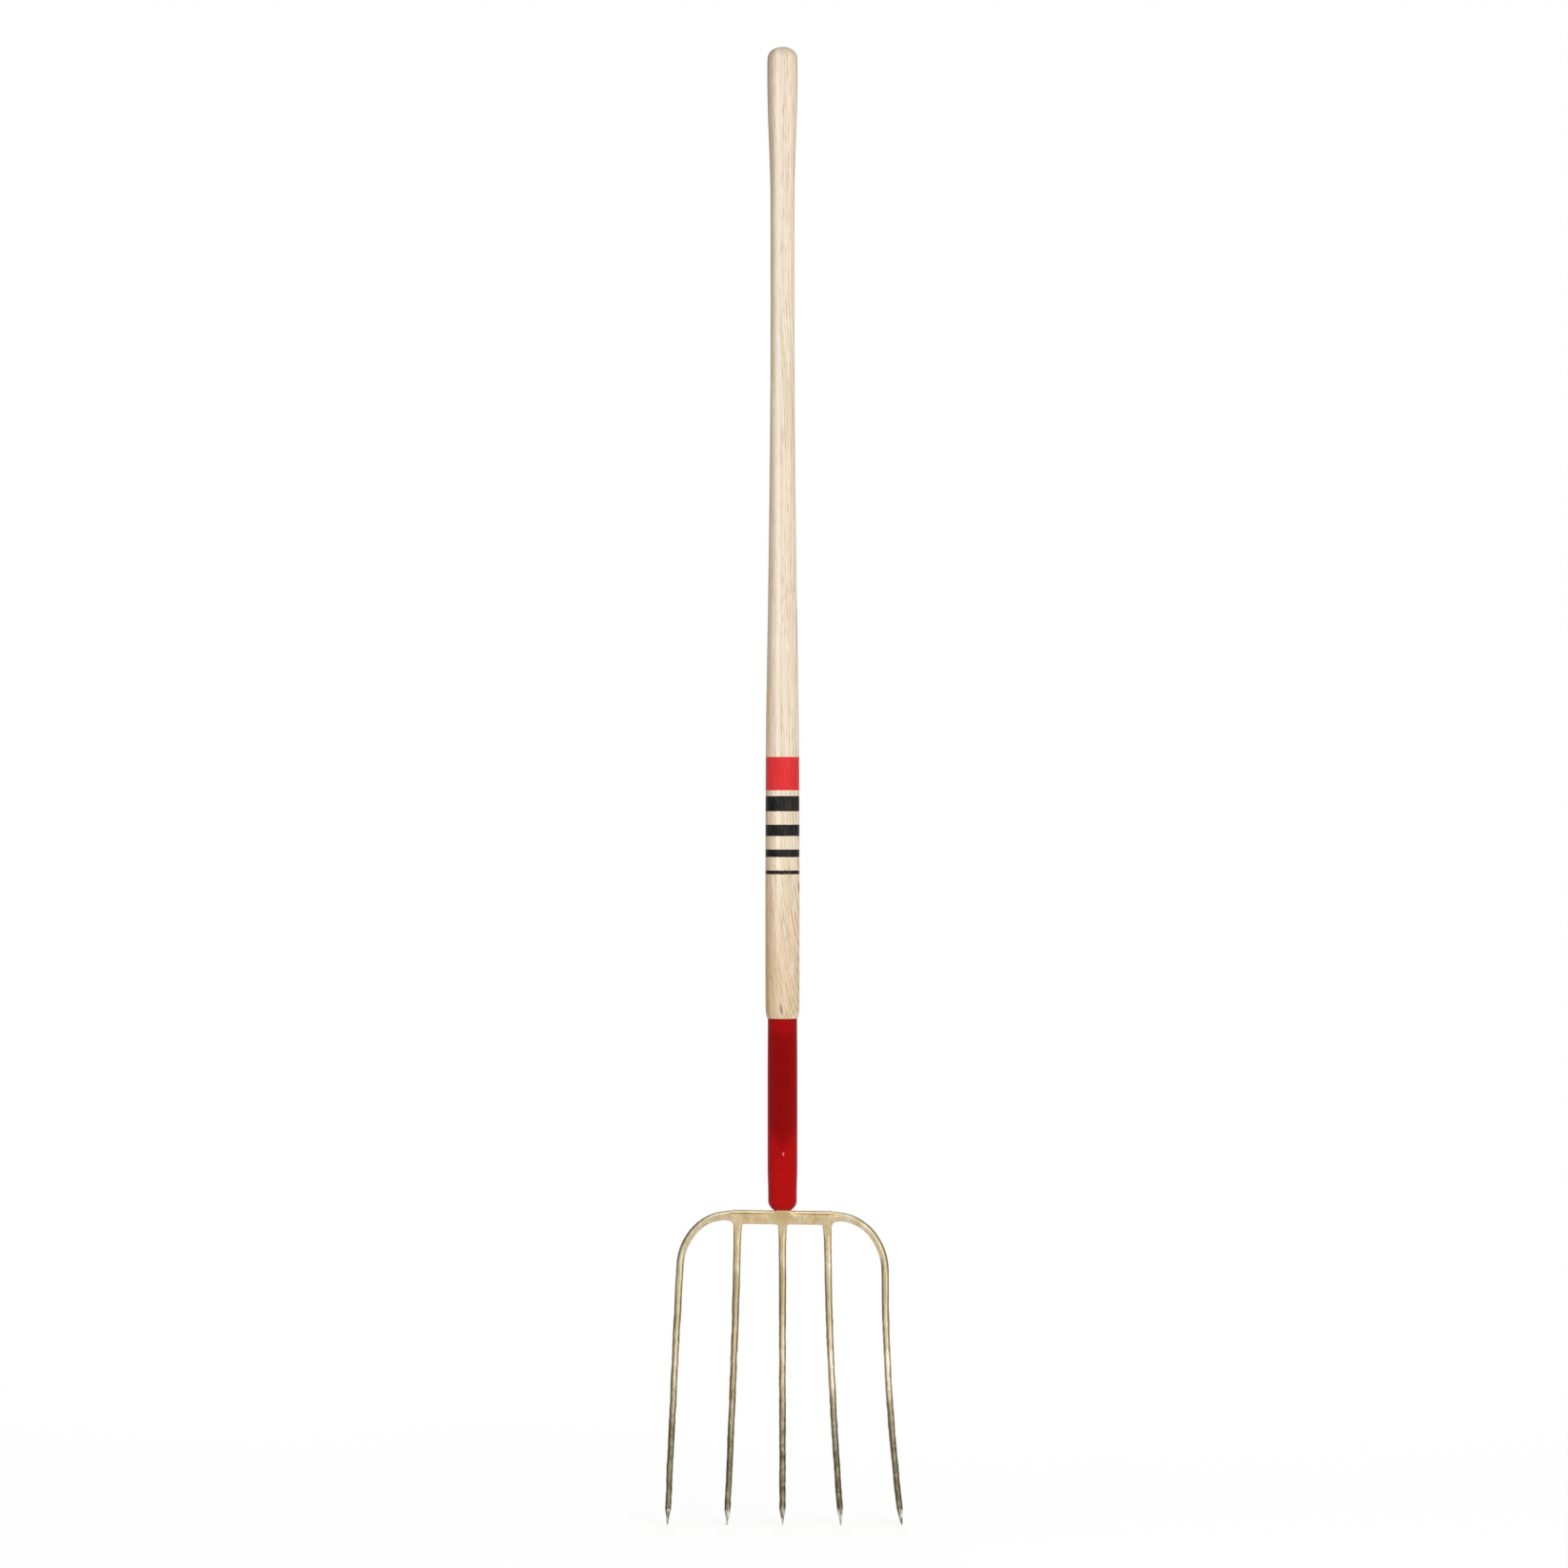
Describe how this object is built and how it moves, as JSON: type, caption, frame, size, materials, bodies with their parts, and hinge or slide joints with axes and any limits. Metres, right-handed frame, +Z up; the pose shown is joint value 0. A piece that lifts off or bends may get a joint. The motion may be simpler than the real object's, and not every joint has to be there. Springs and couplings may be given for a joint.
{
  "type": "manure fork",
  "caption": "Long-handled fork: tapered ash shaft with a swollen end, bent steel ferrule, and a forged head of slim curved tines below a flat crosshead.",
  "frame": {"origin": "on the handle's axis at the grip, the slim waist 251.5 mm below the handle's top end, where a hand or an open hook holds the fork", "axes": "+Z up along the handle to its free end with the tines hanging down, -Y towards the hollow working side of the tines, +X to the right as seen from that side"},
  "size_m": [0.2474, 0.095, 1.543],
  "materials": {
    "ash": "pale ash, sanded and clear varnished",
    "red_paint": "gloss deep red paint on steel",
    "lacquered_steel": "forged carbon steel under pale gold clear lacquer, ground bright at the points"
  },
  "bodies": {
    "root": {"handle": "ash", "ferrule": "red_paint", "ferrule_rivet": "red_paint", "crosshead": "lacquered_steel", "centre_tine": "lacquered_steel", "left_inner_tine": "lacquered_steel", "right_inner_tine": "lacquered_steel", "left_outer_tine": "lacquered_steel", "right_outer_tine": "lacquered_steel"}
  },
  "joints": []
}
